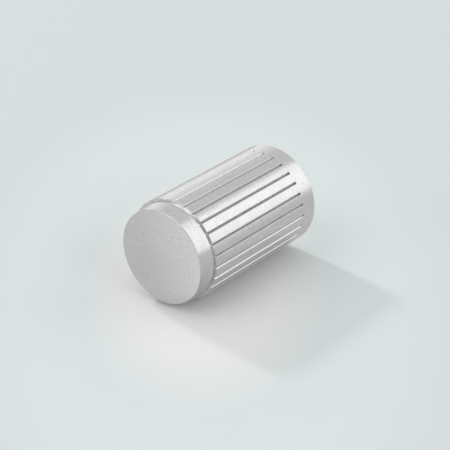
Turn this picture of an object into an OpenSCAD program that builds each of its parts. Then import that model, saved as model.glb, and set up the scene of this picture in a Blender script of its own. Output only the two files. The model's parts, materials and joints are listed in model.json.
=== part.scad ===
// Cylinder knob for a drawer or a cabinet door, turned from one bar of metal.
// From the base up: a plain collar, a barrel with straight V grooves all round, a flat shoulder,
// and a plain band that tapers a little to the front face.
// A blind tapped hole in the base takes the fixing screw. The knob stands on its base.

/* [Barrel] */
// Outer diameter of the barrel and the collar
barrel_d = 18; // [16:0.5:24]
// Length of the whole knob, from the base to the front face
knob_len = 30; // [27:0.5:40]
// Length of the plain collar at the base
collar_len = 3.2; // [2:0.1:6]

/* [Front band] */
// Width of the flat shoulder between the barrel and the band
shoulder_w = 0.4; // [0.4:0.05:1.2]
// Length of the plain band
band_len = 3.2; // [2:0.1:5]
// Taper of the band on each side, in degrees
band_taper = 5; // [0:0.5:8]

/* [Grooves] */
// Number of grooves around the barrel
groove_count = 28; // [16:1:32]
// Width of one groove at the barrel's surface
groove_w = 0.5; // [0.3:0.05:0.55]
// Angle between the two walls of a groove, in degrees
groove_angle = 70; // [70:5:90]

/* [Edges] */
// Chamfer around the front face
face_chamfer = 0.1; // [0.05:0.05:0.4]
// Chamfer around the outer edge of the shoulder
shoulder_chamfer = 0.1; // [0.05:0.05:0.2]
// Chamfer around the base
base_chamfer = 0.2; // [0.1:0.05:0.4]

/* [Screw hole] */
// Nominal diameter of the screw thread
thread_d = 4; // [3:0.5:6]
// Pitch of the screw thread
thread_pitch = 0.7; // [0.5:0.05:1]
// Depth of the hole at its full diameter
hole_depth = 14; // [8:0.5:18]
// Clearance of the countersink around the thread
sink_clearance = 0.4; // [0.2:0.1:1]
// Point angle of the drill, in degrees
drill_angle = 118; // [90:1:140]

/* [Hidden] */
barrel_r = barrel_d / 2;
band_r = barrel_r - shoulder_w;
face_r = band_r - band_len * tan(band_taper);
shoulder_z = knob_len - band_len;
groove_len = shoulder_z - collar_len;
groove_pitch_angle = 360 / groove_count;
groove_slope = tan(groove_angle / 2);
groove_depth = groove_w / 2 / groove_slope;
hole_r = (thread_d - thread_pitch) / 2;
sink_r = (thread_d + sink_clearance) / 2;
sink_h = sink_r - hole_r;
drill_point_h = hole_r / tan(drill_angle / 2);
// How far a cutter reaches past the face that it opens through
overcut = 1;
$fn = 128;

// Half section of the turned blank, from the axis out to the barrel and up to the front face
module blank_section() {
    polygon([
        [0, 0],
        [barrel_r - base_chamfer, 0],
        [barrel_r, base_chamfer],
        [barrel_r, shoulder_z - shoulder_chamfer],
        [barrel_r - shoulder_chamfer, shoulder_z],
        [band_r, shoulder_z],
        [face_r, knob_len - face_chamfer],
        [face_r - face_chamfer, knob_len],
        [0, knob_len]
    ]);
}

// Cutter for one groove on the +X side: open through the shoulder, closed at the collar
module groove_cutter() {
    half_w = (groove_depth + overcut) * groove_slope;
    translate([0, 0, collar_len])
        linear_extrude(height = groove_len + overcut)
            polygon([
                [barrel_r - groove_depth, 0],
                [barrel_r + overcut, -half_w],
                [barrel_r + overcut, half_w]
            ]);
}

// Ring of grooves around the barrel
module groove_ring() {
    for (i = [0 : groove_count - 1])
        rotate([0, 0, i * groove_pitch_angle])
            groove_cutter();
}

// Blind hole for the fixing screw: countersunk mouth, straight wall and drill point
module screw_hole() {
    translate([0, 0, -overcut])
        cylinder(r = hole_r, h = hole_depth + overcut);
    translate([0, 0, hole_depth])
        cylinder(r1 = hole_r, r2 = 0, h = drill_point_h);
    translate([0, 0, -overcut])
        cylinder(r1 = sink_r + overcut, r2 = hole_r, h = sink_h + overcut);
}

// The knob, one piece of satin metal
module knob() {
    color([0.78, 0.78, 0.78])
        difference() {
            rotate_extrude() blank_section();
            groove_ring();
            screw_hole();
        }
}

knob();
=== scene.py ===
"""Looks of the cylinder knob: its grooved body, its satin metal, the stage, the lights and the camera."""
import json
import math

import bmesh
import bpy
from mathutils import Matrix, Vector


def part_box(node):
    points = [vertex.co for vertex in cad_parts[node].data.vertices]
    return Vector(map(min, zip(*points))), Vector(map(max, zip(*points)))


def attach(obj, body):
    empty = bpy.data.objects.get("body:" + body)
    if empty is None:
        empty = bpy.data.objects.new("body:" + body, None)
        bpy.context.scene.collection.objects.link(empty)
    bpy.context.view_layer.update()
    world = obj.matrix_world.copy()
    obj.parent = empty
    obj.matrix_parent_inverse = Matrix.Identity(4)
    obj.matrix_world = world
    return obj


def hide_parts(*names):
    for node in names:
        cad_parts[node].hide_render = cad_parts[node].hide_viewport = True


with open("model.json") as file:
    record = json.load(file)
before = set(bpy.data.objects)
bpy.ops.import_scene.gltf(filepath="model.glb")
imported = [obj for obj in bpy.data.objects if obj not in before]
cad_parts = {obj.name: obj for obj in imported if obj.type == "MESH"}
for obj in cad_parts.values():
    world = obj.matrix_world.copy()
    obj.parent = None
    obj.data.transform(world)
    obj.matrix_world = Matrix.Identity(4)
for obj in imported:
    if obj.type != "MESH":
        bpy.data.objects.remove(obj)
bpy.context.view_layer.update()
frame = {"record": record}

MM = 0.001

# Sizes of the knob: the frame gives the barrel, the length and the hole, the part's source has the rest
low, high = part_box("knob")
HOLE = next(mount for mount in frame["record"]["mounts"] if mount["name"] == "screw_hole")["dims"]
BARREL_R = (high.x - low.x) / 2
KNOB_LEN = high.z - low.z
COLLAR_LEN = 3.2 * MM
SHOULDER_W = 0.4 * MM
BAND_LEN = 3.2 * MM
BAND_TAPER = math.radians(5)
GROOVE_COUNT = 28
GROOVE_W = 0.5 * MM
GROOVE_HALF_ANGLE = math.radians(35)
HOLE_R = HOLE["r_mm"] * MM
HOLE_WALL = HOLE["length_mm"] * MM
THREAD_PITCH = 0.7 * MM
SINK_CLEARANCE = 0.2 * MM
DRILL_HALF_ANGLE = math.radians(59)

# Radii of the eased edges
FACE_EDGE = 0.1 * MM
SHOULDER_EDGE = 0.1 * MM
BASE_EDGE = 0.2 * MM
LAND_EDGE = 0.06 * MM
FLOOR_EDGE = 0.03 * MM
# Height of the narrow rings of faces that keep the edges out of the long faces' shading
SUPPORT = 0.05 * MM

# Sizes that follow
BAND_R = BARREL_R - SHOULDER_W
FACE_R = BAND_R - BAND_LEN * math.tan(BAND_TAPER)
SHOULDER_Z = KNOB_LEN - BAND_LEN
PITCH = math.tau / GROOVE_COUNT
GROOVE_DEPTH = GROOVE_W / 2 / math.tan(GROOVE_HALF_ANGLE)
THREAD_R = HOLE_R + THREAD_PITCH / 2
SINK_R = THREAD_R + SINK_CLEARANCE
SINK_DEPTH = SINK_R - HOLE_R
HOLE_DEPTH = SINK_DEPTH + HOLE_WALL
DRILL_POINT = HOLE_R / math.tan(DRILL_HALF_ANGLE)
MIDDLE = Vector((0, 0, KNOB_LEN / 2))

# Distances from the thread's deepest line, in half pitches: flat up to the first, and gone past the second
THREAD_FLAT = 0.146
THREAD_REACH = 0.5625

# Steps of the mesh along each form, with those of the band and the hole per groove pitch
EDGE_STEPS = 4
LAND_STEPS = 5
MOUTH_STEPS = 3
BAND_STEPS = 8
HOLE_STEPS = 2
THREAD_STEPS = 12

# Shading of the mesh: edges sharper than this angle stay sharp, and large faces outweigh small ones
SHARP_ANGLE = math.radians(40)
FLAT_WEIGHT = 80

# Satin metal: where its texture goes from dark to light, and its lightness and roughness there
TEXTURE_REACH = (0.38, 0.62)
METAL_LIGHTNESS = (0.72, 0.88)
METAL_ROUGHNESS = (0.24, 0.18)
METAL_ANISOTROPY = 0.3
# Rings of the lathe: noise per millimetre, its change around the axis, and its share of the texture
LATHE_SCALE = 8.0
LATHE_DETAIL = 4.0
LATHE_SWEEP = 0.7
LATHE_SHARE = 0.6
# Grain of the metal, per metre
GRAIN_SCALE = 3400.0
GRAIN_DETAIL = 3.0
# Relief that the texture gives the surface
BUMP_STRENGTH = 0.2
BUMP_HEIGHT = 0.002 * MM
# Share of the lightness taken off at the bottom of a groove as painted shade, and the roughness that is
# gained there
GROOVE_PAINTED_SHADE = 0.4
GROOVE_ROUGH = 0.4

# The photograph's view of the knob, and the side of the knob that faces up there
VIEW_AZIMUTH = math.radians(2.80)
VIEW_ELEVATION = math.radians(43.59)
VIEW_ROLL = math.radians(-120.04)
VIEW_TARGET = Vector((-0.60, -0.53, 14.47)) * MM
VIEW_DISTANCE = 262.1 * MM
LENS_MM = 124.2
SENSOR_MM = 36
CLIP_START = 0.01
STAGE_AZIMUTH = math.radians(52.81)

# The floor that the knob lies on in the photograph: lighter and neutral near the knob, a painted pool of
# the light that the metal throws back, cooler farther away, and darker at the edges, a painted fall-off of
# the light
FLOOR_SIZE = 0.6
FLOOR_ROUGHNESS = 0.9
# Painted light: the near colour is a lighter pool around the knob, and the edge colour is a darker fall-off
GLOW_FLOOR = (0.89, 0.89, 0.883, 1.0)
PALE_FLOOR = (0.76, 0.829, 0.824, 1.0)
DIM_EDGE_FLOOR = (0.73, 0.77, 0.794, 1.0)
# Distances from the middle of the painted pool of light at which the floor takes each shade
FLOOR_SHADES = [
    (12.6 * MM, GLOW_FLOOR),
    (21 * MM, PALE_FLOOR),
    (30 * MM, PALE_FLOOR),
    (45 * MM, DIM_EDGE_FLOOR),
]
# Middle of the painted pool of light, to the right and to the back of the knob's middle
GLOW_RIGHT = -2.5 * MM
GLOW_BACK = -3 * MM
# Share of a distance to the back that counts for the shade, because the photograph foreshortens it
DEPTH_SHARE = 0.52
# Share of the floor's lightness that reflections show, a painted reflection: at the back, and in front by
# the place across, with painted shade darkest in front of the knob
REFLECTED_BACK = 0.67
REFLECTED_FRONT = [(-10 * MM, 0.89), (-4 * MM, 0.40), (8 * MM, 0.40), (16 * MM, 0.68)]
# Depths between which the front's share goes over to the back's
REFLECTED_DEPTHS = (-17 * MM, -9 * MM)
# Painted light that reflections of the floor gain, a glow of the floor that only reflections see
PAINTED_REFLECTION_GLOW = 0.07

# The room: grey walls, a bright sweep low at the back and a bright ceiling, and where each one fades
ROOM_COLOUR = (0.70, 0.765, 0.76, 1.0)
WALL_GREYS = (0.45, 0.61)
WALL_FADE = (-0.6, 0.2)
SWEEP_GLOW = 0.34
SWEEP_UP_FADE = (0.15, 0.6)
SWEEP_BACK_FADE = (0.35, 0.85)
CEILING_GLOW = 0.38
CEILING_FADE = (0.86, 0.98)

# Lamps: name, place in the photograph (right, up, back), distance, size, radiance, shown in reflections
LAMPS = [
    ("key", (-0.55, 0.55, 0.63), 1.2, (0.11, 0.11), 78.0, False),
    ("side", (0.88, 0.454, 0.139), 1.05, (0.93, 0.80), 0.52, True),
    ("front", (0.62, 0.50, -0.60), 1.05, (0.60, 0.60), 1.3, False),
    ("top", (0.57, 0.79, 0.22), 1.05, (0.26, 0.26), 0.42, True),
    ("fill", (-0.64, 0.67, -0.37), 1.05, (0.75, 0.75), 1.0, True),
]


def toward(azimuth, elevation=0.0):
    """Unit vector from the knob toward a place, with azimuth 0 at -Y as in the other views."""
    flat = math.cos(elevation)
    return Vector((math.sin(azimuth) * flat, -math.cos(azimuth) * flat, math.sin(elevation)))


def stage_axes():
    """The photograph's right, up and back directions over the floor that the knob lies on."""
    up = toward(STAGE_AZIMUTH)
    view = toward(VIEW_AZIMUTH, VIEW_ELEVATION)
    back = -(view - view.dot(up) * up).normalized()
    return back.cross(up), up, back


# Mesh


def arc(centre, radius, start, end):
    """Points along an arc from one angle to another, both ends among them."""
    angles = [start + (end - start) * i / EDGE_STEPS for i in range(EDGE_STEPS + 1)]
    return [(centre[0] + radius * math.cos(a), centre[1] + radius * math.sin(a)) for a in angles]


def groove_half_section():
    """Half of a V groove's section, from the middle of its floor to the land, as (radius, angle) pairs."""
    slope = GROOVE_HALF_ANGLE
    tip_x = BARREL_R - GROOVE_DEPTH
    floor_x = tip_x + FLOOR_EDGE / math.sin(slope)
    land_r = BARREL_R - LAND_EDGE
    land_angle = slope + math.asin((LAND_EDGE - tip_x * math.sin(slope)) / land_r)
    land_centre = (land_r * math.cos(land_angle), land_r * math.sin(land_angle))
    points = arc((floor_x, 0.0), FLOOR_EDGE, math.pi, math.pi / 2 + slope)
    points += arc(land_centre, LAND_EDGE, slope - math.pi / 2, land_angle)
    return [(math.hypot(x, y), math.atan2(y, x)) for x, y in points]


def mirrored(half):
    """A half section on both sides of its first point, from the far side to the near one."""
    return [(r, -a) for r, a in reversed(half[1:])] + half


def vert(bm, radius, angle, z):
    """A point of the mesh, from its place around the axis."""
    return bm.verts.new((radius * math.cos(angle), radius * math.sin(angle), z))


def bridge(bm, lower, upper):
    """Quads between two closed rings with the same number of points."""
    for i in range(len(lower)):
        j = (i + 1) % len(lower)
        bm.faces.new((lower[i], lower[j], upper[j], upper[i]))


def bridge_by_pitch(bm, outer, inner):
    """One face for each pitch, between two rings in a plane whose points differ in number."""
    outer_steps = len(outer) // GROOVE_COUNT
    inner_steps = len(inner) // GROOVE_COUNT
    for i in range(GROOVE_COUNT):
        out = [outer[(i * outer_steps + k) % len(outer)] for k in range(outer_steps + 1)]
        back = [inner[(i * inner_steps + k) % len(inner)] for k in range(inner_steps, -1, -1)]
        bm.faces.new(out + back)


def circle(bm, radius, z, steps_per_pitch):
    """A plain ring whose first point is in the middle of a land."""
    count = GROOVE_COUNT * steps_per_pitch
    return [vert(bm, radius, math.tau * i / count - PITCH / 2, z) for i in range(count)]


def eased(radius, z, edge, up):
    """(radius, z) pairs around an eased outer edge, from the side wall to a top face (up is 1)
    or to the base (up is -1)."""
    turns = [math.pi / 2 * i / EDGE_STEPS for i in range(EDGE_STEPS + 1)]
    wall_end = (radius, z - up * (edge + SUPPORT))
    bend = [(radius - edge * (1 - math.cos(t)), z + up * edge * (math.sin(t) - 1)) for t in turns]
    return [wall_end] + bend


def groove_ends(bm, ring, edge):
    """The flat ends of the grooves at the collar. Returns the ring that the collar goes on from."""
    collar_ring = []
    count = len(ring) // GROOVE_COUNT
    for i in range(GROOVE_COUNT):
        pitch = ring[i * count:(i + 1) * count]
        turns = [edge * (2 * k / MOUTH_STEPS - 1) + i * PITCH for k in range(1, MOUTH_STEPS)]
        mouth = [vert(bm, BARREL_R, turn, COLLAR_LEN) for turn in turns]
        groove = pitch[LAND_STEPS:count - LAND_STEPS + 1]
        bm.faces.new(groove + mouth[::-1])
        collar_ring += pitch[:LAND_STEPS + 1] + mouth + pitch[count - LAND_STEPS:]
    return collar_ring


def barrel(bm):
    """The grooved barrel, from the groove ends to the rim of the shoulder.
    Returns the rim, and the ring that the collar goes on from."""
    half = groove_half_section()
    edge = half[-1][1]
    land = [(BARREL_R, edge + (PITCH / 2 - edge) * i / LAND_STEPS) for i in range(1, LAND_STEPS + 1)]
    section = mirrored(half + land)[:-1]
    levels = [(BARREL_R, COLLAR_LEN), (BARREL_R, COLLAR_LEN + SUPPORT)]
    levels += eased(BARREL_R, SHOULDER_Z, SHOULDER_EDGE, 1)
    rings = [
        [vert(bm, min(r, limit), a + i * PITCH, z) for i in range(GROOVE_COUNT) for r, a in section]
        for limit, z in levels
    ]
    for lower, upper in zip(rings, rings[1:]):
        bridge(bm, lower, upper)
    return rings[-1], groove_ends(bm, rings[0], edge)


def collar(bm, top):
    """The plain collar and the rim of the base, below the groove ends. Returns the ring around the base."""
    angles = [math.atan2(v.co.y, v.co.x) for v in top]
    for radius, z in [(BARREL_R, COLLAR_LEN - SUPPORT)] + eased(BARREL_R, 0.0, BASE_EDGE, -1):
        ring = [vert(bm, radius, a, z) for a in angles]
        bridge(bm, ring, top)
        top = ring
    return top


def band(bm, rim):
    """The shoulder inside the barrel's rim, the plain band and the front face."""
    ring = circle(bm, BAND_R, SHOULDER_Z, BAND_STEPS)
    bridge_by_pitch(bm, rim, ring)
    for radius, z in eased(FACE_R, KNOB_LEN, FACE_EDGE, 1):
        upper = circle(bm, radius, z, BAND_STEPS)
        bridge(bm, ring, upper)
        ring = upper
    bm.faces.new(ring)


def clamped(value):
    """A value kept between 0 and 1."""
    return min(1.0, max(0.0, value))


def thread_radius(angle, z):
    """The tapped wall's radius: a helical groove that fades out at the mouth and at the bottom."""
    phase = (z / THREAD_PITCH - angle / math.tau) % 1.0
    depth = clamped((THREAD_REACH - abs(2 * phase - 1)) / (THREAD_REACH - THREAD_FLAT))
    ends = clamped(min(z - SINK_DEPTH, HOLE_DEPTH - THREAD_PITCH - z) / THREAD_PITCH)
    return HOLE_R + (THREAD_R - HOLE_R) * depth * ends


def screw_hole(bm, base_ring):
    """The countersunk mouth in the base, the tapped wall and the drill point."""
    ring = circle(bm, SINK_R, 0.0, HOLE_STEPS)
    bridge_by_pitch(bm, base_ring, ring)
    rows = round(HOLE_WALL / THREAD_PITCH * THREAD_STEPS)
    for i in range(rows + 1):
        z = SINK_DEPTH + HOLE_WALL * i / rows
        upper = circle(bm, HOLE_R, z, HOLE_STEPS)
        for v in upper:
            angle = math.atan2(v.co.y, v.co.x)
            v.co.xy = v.co.xy.normalized() * thread_radius(angle, z)
        bridge(bm, ring, upper)
        ring = upper
    tip = bm.verts.new((0, 0, HOLE_DEPTH + DRILL_POINT))
    for a, b in zip(ring, ring[1:] + ring[:1]):
        bm.faces.new((a, b, tip))


def make_knob():
    """The knob as one closed mesh, with true flats and eased edges."""
    bm = bmesh.new()
    rim, collar_ring = barrel(bm)
    band(bm, rim)
    screw_hole(bm, collar(bm, collar_ring))
    bmesh.ops.recalc_face_normals(bm, faces=bm.faces)
    for face in bm.faces:
        face.smooth = True
    mesh = bpy.data.meshes.new("knob_body")
    bm.to_mesh(mesh)
    bm.free()
    mesh.set_sharp_from_angle(angle=SHARP_ANGLE)
    body = bpy.data.objects.new("knob_body", mesh)
    bpy.context.collection.objects.link(body)
    normals = body.modifiers.new("flat_faces", "WEIGHTED_NORMAL")
    normals.keep_sharp = True
    normals.weight = FLAT_WEIGHT
    return body


# Nodes


def add(tree, kind, sources=(), **settings):
    """A node with its settings, and with its sockets' sources {name or index: value or output}."""
    node = tree.nodes.new(kind)
    for key, value in settings.items():
        setattr(node, key, value)
    for key, source in dict(sources).items():
        if isinstance(source, bpy.types.NodeSocket):
            tree.links.new(source, node.inputs[key])
        else:
            node.inputs[key].default_value = source
    return node


def calculate(tree, operation, *operands):
    """The result of a Math node, whose operands are numbers or outputs."""
    return add(tree, "ShaderNodeMath", enumerate(operands), operation=operation).outputs[0]


def along(tree, vector, axis):
    """How far a vector reaches along an axis."""
    return add(tree, "ShaderNodeVectorMath", {0: vector, 1: axis}, operation="DOT_PRODUCT").outputs["Value"]


def length(tree, vector):
    """The length of a vector."""
    return add(tree, "ShaderNodeVectorMath", {0: vector}, operation="LENGTH").outputs["Value"]


def remap(tree, value, places, results):
    """A value that goes from one result to the other between two places."""
    limits = {"From Min": places[0], "From Max": places[1], "To Min": results[0], "To Max": results[1]}
    return add(tree, "ShaderNodeMapRange", {"Value": value, **limits}).outputs["Result"]


def ramp(tree, value, shades):
    """A colour that follows a value through (value, colour) pairs."""
    first, last = shades[0][0], shades[-1][0]
    node = add(tree, "ShaderNodeValToRGB", {0: remap(tree, value, (first, last), (0.0, 1.0))})
    stops = node.color_ramp.elements
    while len(stops) < len(shades):
        stops.new(1.0)
    for stop, (place, colour) in zip(stops, shades):
        stop.position = (place - first) / (last - first)
        stop.color = colour
    return node.outputs[0]


def blend(tree, share, colour, other):
    """A colour that goes over to another as the share goes from 0 to 1.
    Sockets 6 and 7 of the node are its two colours."""
    return add(tree, "ShaderNodeMix", {0: share, 6: colour, 7: other}, data_type="RGBA").outputs[2]


def grey(tree, level):
    """A grey of a given level."""
    return add(tree, "ShaderNodeCombineColor", {0: level, 1: level, 2: level}).outputs[0]


def noise(tree, vector, scale, detail):
    """Soft noise around 0.5."""
    sources = {"Vector": vector, "Scale": scale, "Detail": detail}
    return add(tree, "ShaderNodeTexNoise", sources).outputs["Fac"]


def new_material(name):
    """A material with its node tree and its main shader."""
    material = bpy.data.materials.new(name)
    material.use_nodes = True
    return material, material.node_tree, material.node_tree.nodes["Principled BSDF"]


# Satin metal


def turned_coordinates(tree, place):
    """A point's radius and height in millimetres, and its angle around the axis in radians."""
    x, y, z = add(tree, "ShaderNodeSeparateXYZ", {0: place}).outputs
    flat = add(tree, "ShaderNodeCombineXYZ", {0: x, 1: y}).outputs[0]
    radius = calculate(tree, "DIVIDE", length(tree, flat), MM)
    return radius, calculate(tree, "DIVIDE", z, MM), calculate(tree, "ARCTAN2", y, x)


def groove_shade_and_roughness(tree, radius, height):
    """0 on the turned faces, up to 1 at the bottom of the grooves, where painted shade darkens the metal
    and it is rougher.
    """
    reach = ((BARREL_R - GROOVE_DEPTH) / MM, (BARREL_R - LAND_EDGE) / MM)
    sunk = remap(tree, radius, reach, (1.0, 0.0))
    past_collar = calculate(tree, "GREATER_THAN", height, (COLLAR_LEN + SUPPORT) / MM)
    before_rim = calculate(tree, "LESS_THAN", height, (SHOULDER_Z - SHOULDER_EDGE) / MM)
    return calculate(tree, "MULTIPLY", sunk, calculate(tree, "MULTIPLY", past_collar, before_rim))


def metal_texture(tree, place, radius, height, angle):
    """The rings that the lathe leaves, with the grain of the metal."""
    sweep = calculate(tree, "MULTIPLY", angle, LATHE_SWEEP)
    lathe = add(tree, "ShaderNodeCombineXYZ", {0: radius, 1: sweep, 2: height}).outputs[0]
    rings = noise(tree, lathe, LATHE_SCALE, LATHE_DETAIL)
    grain = noise(tree, place, GRAIN_SCALE, GRAIN_DETAIL)
    return calculate(
        tree, "MULTIPLY_ADD", rings, LATHE_SHARE, calculate(tree, "MULTIPLY", grain, 1 - LATHE_SHARE))


def satin_metal():
    """Light grey satin metal with the fine rings that the lathe leaves, darkened by painted shade and
    rougher in the grooves.
    """
    material, tree, shader = new_material("turned_metal")
    place = add(tree, "ShaderNodeTexCoord").outputs["Object"]
    radius, height, angle = turned_coordinates(tree, place)
    texture = metal_texture(tree, place, radius, height, angle)
    shade_and_rough = groove_shade_and_roughness(tree, radius, height)
    # Painted shade: the metal's colour is darker towards the bottom of the grooves
    kept = calculate(tree, "MULTIPLY_ADD", shade_and_rough, -GROOVE_PAINTED_SHADE, 1.0)
    tone = calculate(tree, "MULTIPLY", remap(tree, texture, TEXTURE_REACH, METAL_LIGHTNESS), kept)
    turned = remap(tree, texture, TEXTURE_REACH, METAL_ROUGHNESS)
    relief = {"Strength": BUMP_STRENGTH, "Distance": BUMP_HEIGHT, "Height": texture}
    bump = add(tree, "ShaderNodeBump", relief)
    tangent = add(tree, "ShaderNodeTangent", direction_type="RADIAL", axis="Z")
    shader.inputs["Metallic"].default_value = 1.0
    shader.inputs["Anisotropic"].default_value = METAL_ANISOTROPY
    tree.links.new(grey(tree, tone), shader.inputs["Base Color"])
    tree.links.new(calculate(tree, "MULTIPLY_ADD", shade_and_rough, GROOVE_ROUGH, turned), shader.inputs["Roughness"])
    tree.links.new(bump.outputs[0], shader.inputs["Normal"])
    tree.links.new(tangent.outputs[0], shader.inputs["Tangent"])
    return material


# Stage


def floor_place(tree):
    """How far a point of the floor lies to the right and to the back of the middle of the painted pool of
    light.
    """
    right, up, back = stage_axes()
    centre = MIDDLE - up * BARREL_R + right * GLOW_RIGHT + back * GLOW_BACK
    place = add(tree, "ShaderNodeNewGeometry").outputs["Position"]
    offset = add(tree, "ShaderNodeVectorMath", {0: place, 1: centre}, operation="SUBTRACT").outputs[0]
    return along(tree, offset, right), along(tree, offset, back)


def floor_shade(tree, across, depth):
    """The floor's colour: lighter and neutral around the knob, a painted pool of light, cooler farther
    away, and darker at the edges, a painted fall-off of the light.
    """
    foreshortened = calculate(tree, "MULTIPLY", depth, DEPTH_SHARE)
    flat = add(tree, "ShaderNodeCombineXYZ", {0: across, 1: foreshortened}).outputs[0]
    return ramp(tree, length(tree, flat), FLOOR_SHADES)


def painted_reflection(tree, shade, across, depth):
    """The grey that the metal shows of the floor, a painted reflection: neutral, as in the photograph, with
    painted shade darkest in front.
    """
    front = ramp(tree, across, [(place, (share, share, share, 1.0)) for place, share in REFLECTED_FRONT])
    share = remap(tree, depth, REFLECTED_DEPTHS, (front, REFLECTED_BACK))
    return calculate(tree, "MULTIPLY", add(tree, "ShaderNodeRGBToBW", {0: shade}).outputs[0], share)


def floor_material():
    """A pale matt floor that shows from above only, and that reflections see as a painted, glowing grey."""
    material, tree, shader = new_material("pale_floor")
    across, depth = floor_place(tree)
    shade = floor_shade(tree, across, depth)
    glossy = add(tree, "ShaderNodeLightPath").outputs["Is Glossy Ray"]
    # Painted reflection: reflections see the floor as a darker grey, darkest in front, with a painted glow
    # added
    colour = blend(tree, glossy, shade, painted_reflection(tree, shade, across, depth))
    reflection_glow = calculate(tree, "MULTIPLY", glossy, PAINTED_REFLECTION_GLOW)
    tree.links.new(colour, shader.inputs["Base Color"])
    tree.links.new(reflection_glow, shader.inputs["Emission Strength"])
    shader.inputs["Emission Color"].default_value = (1.0, 1.0, 1.0, 1.0)
    shader.inputs["Roughness"].default_value = FLOOR_ROUGHNESS
    shader.inputs["Specular IOR Level"].default_value = 0.0
    below = add(tree, "ShaderNodeNewGeometry").outputs["Backfacing"]
    clear = add(tree, "ShaderNodeBsdfTransparent").outputs[0]
    surface = add(tree, "ShaderNodeMixShader", {0: below, 1: shader.outputs[0], 2: clear}).outputs[0]
    tree.links.new(surface, tree.nodes["Material Output"].inputs["Surface"])
    return material


def make_floor():
    """The floor beside the barrel, on which the knob lies in the photograph. It casts no shadow."""
    half = FLOOR_SIZE / 2
    corners = [(-half, -half, 0), (half, -half, 0), (half, half, 0), (-half, half, 0)]
    mesh = bpy.data.meshes.new("floor")
    mesh.from_pydata(corners, [], [(0, 1, 2, 3)])
    mesh.materials.append(floor_material())
    floor = bpy.data.objects.new("floor", mesh)
    bpy.context.collection.objects.link(floor)
    up = toward(STAGE_AZIMUTH)
    turn = up.to_track_quat("Z", "Y").to_matrix().to_4x4()
    floor.matrix_world = Matrix.Translation(MIDDLE - up * BARREL_R) @ turn
    floor.visible_shadow = False


def make_world():
    """The room around the knob, which the camera sees as one pale colour."""
    world = bpy.data.worlds.new("studio")
    bpy.context.scene.world = world
    world.use_nodes = True
    tree = world.node_tree
    look = add(tree, "ShaderNodeTexCoord").outputs["Generated"]
    up, back = (along(tree, look, axis) for axis in stage_axes()[1:])
    low_down = remap(tree, up, SWEEP_UP_FADE, (1.0, 0.0))
    behind = remap(tree, back, SWEEP_BACK_FADE, (0.0, 1.0))
    sweep = calculate(tree, "MULTIPLY", low_down, behind)
    walls = remap(tree, back, WALL_FADE, WALL_GREYS)
    ceiling = remap(tree, up, CEILING_FADE, (0.0, CEILING_GLOW))
    room = calculate(tree, "ADD", calculate(tree, "MULTIPLY_ADD", sweep, SWEEP_GLOW, walls), ceiling)
    camera = add(tree, "ShaderNodeLightPath").outputs["Is Camera Ray"]
    colour = blend(tree, camera, grey(tree, room), ROOM_COLOUR)
    tree.links.new(colour, tree.nodes["Background"].inputs["Color"])


# Lights and camera


def make_lamp(name, place, distance, size, radiance, in_reflections):
    """A soft lamp that looks at the knob from a place in the photograph. Its face shows the radiance."""
    right, up, back = stage_axes()
    direction = (right * place[0] + up * place[1] + back * place[2]).normalized()
    level = up.cross(direction).normalized()
    turn = Matrix((level, direction.cross(level), direction)).transposed().to_4x4()
    lamp = bpy.data.lights.new(name, "AREA")
    lamp.shape = "RECTANGLE"
    lamp.size, lamp.size_y = size
    lamp.energy = radiance * math.pi * size[0] * size[1]
    holder = bpy.data.objects.new(name, lamp)
    bpy.context.collection.objects.link(holder)
    holder.matrix_world = Matrix.Translation(MIDDLE + direction * distance) @ turn
    holder.visible_camera = False
    holder.visible_glossy = in_reflections


def make_camera():
    """The photograph's camera."""
    back = toward(VIEW_AZIMUTH, VIEW_ELEVATION)
    lens = bpy.data.cameras.new("camera")
    lens.lens = LENS_MM
    lens.sensor_width = SENSOR_MM
    lens.clip_start = CLIP_START
    camera = bpy.data.objects.new("camera", lens)
    bpy.context.collection.objects.link(camera)
    level = back.to_track_quat("Z", "Y").to_matrix().to_4x4()
    roll = Matrix.Rotation(VIEW_ROLL, 4, "Z")
    camera.matrix_world = Matrix.Translation(VIEW_TARGET + back * VIEW_DISTANCE) @ level @ roll
    bpy.context.scene.camera = camera


knob = make_knob()
knob.data.materials.append(satin_metal())
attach(knob, "root")
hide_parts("knob")

make_floor()
make_world()
for lamp in LAMPS:
    make_lamp(*lamp)
make_camera()
bpy.context.scene.view_settings.view_transform = "Standard"
